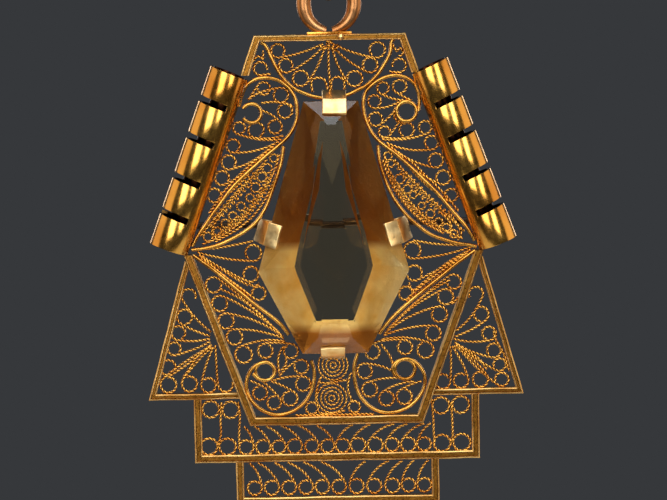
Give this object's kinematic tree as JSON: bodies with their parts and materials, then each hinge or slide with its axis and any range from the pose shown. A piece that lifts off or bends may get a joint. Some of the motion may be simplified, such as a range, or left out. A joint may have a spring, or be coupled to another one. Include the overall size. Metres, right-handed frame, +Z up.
{
  "type": "filigree brooch-pendant",
  "caption": "Stepped gold filigree brooch-pendant with a coffin-shaped step-cut stone, slotted side barrels, a ring and bail on top, and a hinged pin with a locking catch.",
  "frame": {"origin": "on the pin stem's axis, on the brooch's centre line", "axes": "+Z up as the brooch is worn, the front faces -Y, +X to the viewer's right"},
  "size_m": [0.0402, 0.01, 0.0617],
  "materials": {
    "frame_gold": "worn yellow gold strip, satin face with a bright rubbed rib",
    "filigree_gold": "twisted yellow gold wire, bright tops and dark seats",
    "bold_wire_gold": "drawn yellow gold wire, hammered slightly flat",
    "barrel_gold": "polished yellow gold tube with fine wear",
    "prong_gold": "burnished pale gold",
    "ring_gold": "polished slightly reddish gold wire",
    "bail_gold": "polished yellow gold wire and solder",
    "findings_gold": "plain satin gold findings",
    "pin_metal": "hard drawn steel pin wire, browned with age",
    "citrine": "polished step-cut smoky yellow citrine"
  },
  "bodies": {
    "brooch": {"frame_top": "frame_gold", "frame_lower": "frame_gold", "wing_frame_left": "frame_gold", "wing_frame_right": "frame_gold", "tier_frame_upper": "frame_gold", "tier_frame_lower": "frame_gold", "fan_arch": "bold_wire_gold", "scroll_wire_left": "bold_wire_gold", "scroll_wire_right": "bold_wire_gold", "leaf_wire_left": "bold_wire_gold", "leaf_wire_right": "bold_wire_gold", "strut_left": "bold_wire_gold", "strut_right": "bold_wire_gold", "volute_wire_left": "bold_wire_gold", "volute_wire_right": "bold_wire_gold", "fan_filigree": "filigree_gold", "corner_filigree_left": "filigree_gold", "corner_filigree_right": "filigree_gold", "scroll_filigree_left": "filigree_gold", "scroll_filigree_right": "filigree_gold", "frond_filigree_left": "filigree_gold", "frond_filigree_right": "filigree_gold", "leaf_filigree_left": "filigree_gold", "leaf_filigree_right": "filigree_gold", "star_filigree_left": "filigree_gold", "star_filigree_right": "filigree_gold", "side_filigree_left": "filigree_gold", "side_filigree_right": "filigree_gold", "volute_filigree_left": "filigree_gold", "volute_filigree_right": "filigree_gold", "rosette_upper": "filigree_gold", "rosette_lower": "filigree_gold", "base_curls": "filigree_gold", "wing_filigree_left": "filigree_gold", "wing_filigree_right": "filigree_gold", "tier_filigree_upper": "filigree_gold", "tier_filigree_lower": "filigree_gold", "citrine": "citrine", "stone_gallery": "bold_wire_gold", "prong_top": "prong_gold", "prong_bottom": "prong_gold", "prong_left": "prong_gold", "prong_right": "prong_gold", "barrel_left": "barrel_gold", "barrel_right": "barrel_gold", "pendant_ring": "ring_gold", "ring_seat": "bail_gold", "solder_bead": "bail_gold", "hinge_bracket": "findings_gold", "hinge_rivet": "findings_gold", "catch_housing": "findings_gold"},
    "pin": {"pin_stem": "pin_metal"},
    "lock": {"catch_lock": "findings_gold"},
    "hanger": {"bail": "bail_gold"}
  },
  "joints": [
    {"name": "pin_hinge", "type": "hinge", "parent": "brooch", "child": "pin", "pos_m": [-0.0169, 0, 0], "axis": [0, 0, 1], "range_deg": [0, 95]},
    {"name": "lock_turn", "type": "hinge", "parent": "brooch", "child": "lock", "pos_m": [0.0169, 0, 0], "axis": [1, 0, 0], "range_deg": [0, 110]},
    {"name": "bail_swing", "type": "hinge", "parent": "brooch", "child": "hanger", "pos_m": [0, -0.00475, 0.02668], "axis": [1, 0, 0], "range_deg": [-110, 110]}
  ]
}
